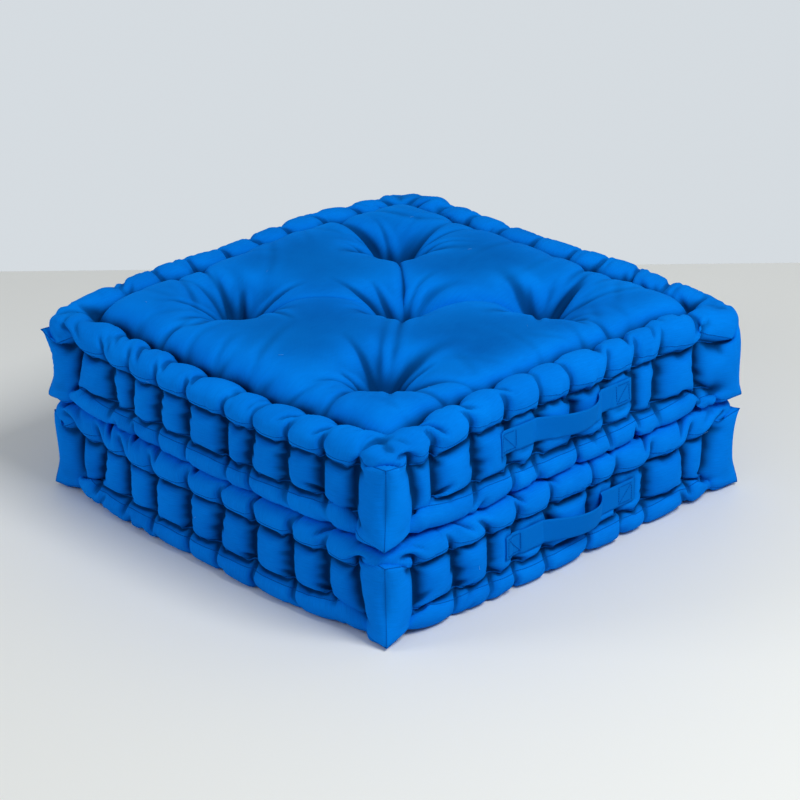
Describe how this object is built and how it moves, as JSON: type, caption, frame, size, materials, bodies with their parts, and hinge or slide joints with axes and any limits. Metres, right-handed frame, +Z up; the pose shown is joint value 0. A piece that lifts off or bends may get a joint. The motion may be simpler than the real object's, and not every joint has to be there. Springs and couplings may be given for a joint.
{
  "type": "floor cushion set",
  "caption": "Stack of square tufted floor cushions with rolled edges, boxed sides and a fabric carrying handle on the front of each.",
  "frame": {"origin": "middle of the footprint, handles included, on the floor", "axes": "+Z up through the stack; the handles are on the -Y side; X and Y run along the cushions' sides"},
  "size_m": [0.6002, 0.6191, 0.2406],
  "materials": {
    "cover": "matt plain-weave cotton, saturated blue",
    "strap": "the cover's cloth, folded into a strap",
    "thread": "blue cotton thread and twine",
    "filling": "soft off-white fibre"
  },
  "bodies": {
    "lower_cushion": {"lower_filling": "filling", "lower_top_panel": "cover", "lower_bottom_panel": "cover", "lower_boxing_front": "cover", "lower_boxing_right": "cover", "lower_boxing_back": "cover", "lower_boxing_left": "cover", "lower_top_seam": "thread", "lower_bottom_seam": "thread", "lower_top_roll_twine": "thread", "lower_bottom_roll_twine": "thread", "lower_corner_seam_front_left": "thread", "lower_corner_seam_front_right": "thread", "lower_corner_seam_back_right": "thread", "lower_corner_seam_back_left": "thread", "lower_tuft_tie_middle": "thread", "lower_tuft_tie_front_left": "thread", "lower_tuft_tie_back_left": "thread", "lower_tuft_tie_front_right": "thread", "lower_tuft_tie_back_right": "thread", "lower_handle_end_right": "strap", "lower_handle_end_left": "strap", "lower_handle_stitch_right": "thread", "lower_handle_stitch_left": "thread"},
    "upper_cushion": {"upper_filling": "filling", "upper_top_panel": "cover", "upper_bottom_panel": "cover", "upper_boxing_front": "cover", "upper_boxing_right": "cover", "upper_boxing_back": "cover", "upper_boxing_left": "cover", "upper_top_seam": "thread", "upper_bottom_seam": "thread", "upper_top_roll_twine": "thread", "upper_bottom_roll_twine": "thread", "upper_corner_seam_front_left": "thread", "upper_corner_seam_front_right": "thread", "upper_corner_seam_back_right": "thread", "upper_corner_seam_back_left": "thread", "upper_tuft_tie_middle": "thread", "upper_tuft_tie_front_left": "thread", "upper_tuft_tie_back_left": "thread", "upper_tuft_tie_front_right": "thread", "upper_tuft_tie_back_right": "thread", "upper_handle_end_right": "strap", "upper_handle_end_left": "strap", "upper_handle_stitch_right": "thread", "upper_handle_stitch_left": "thread"},
    "lower_handle": {"lower_handle_strap": "strap"},
    "upper_handle": {"upper_handle_strap": "strap"}
  },
  "joints": [
    {"name": "upper_lift", "type": "slide", "parent": "lower_cushion", "child": "upper_cushion", "axis": [0, 0, 1], "range_m": [0, 0.22]},
    {"name": "lower_handle_swing", "type": "hinge", "parent": "lower_cushion", "child": "lower_handle", "pos_m": [0, -0.2785, 0.06], "axis": [1, 0, 0], "range_deg": [-30, 30]},
    {"name": "upper_handle_swing", "type": "hinge", "parent": "upper_cushion", "child": "upper_handle", "pos_m": [0, -0.2785, 0.1806], "axis": [1, 0, 0], "range_deg": [-30, 30]}
  ]
}
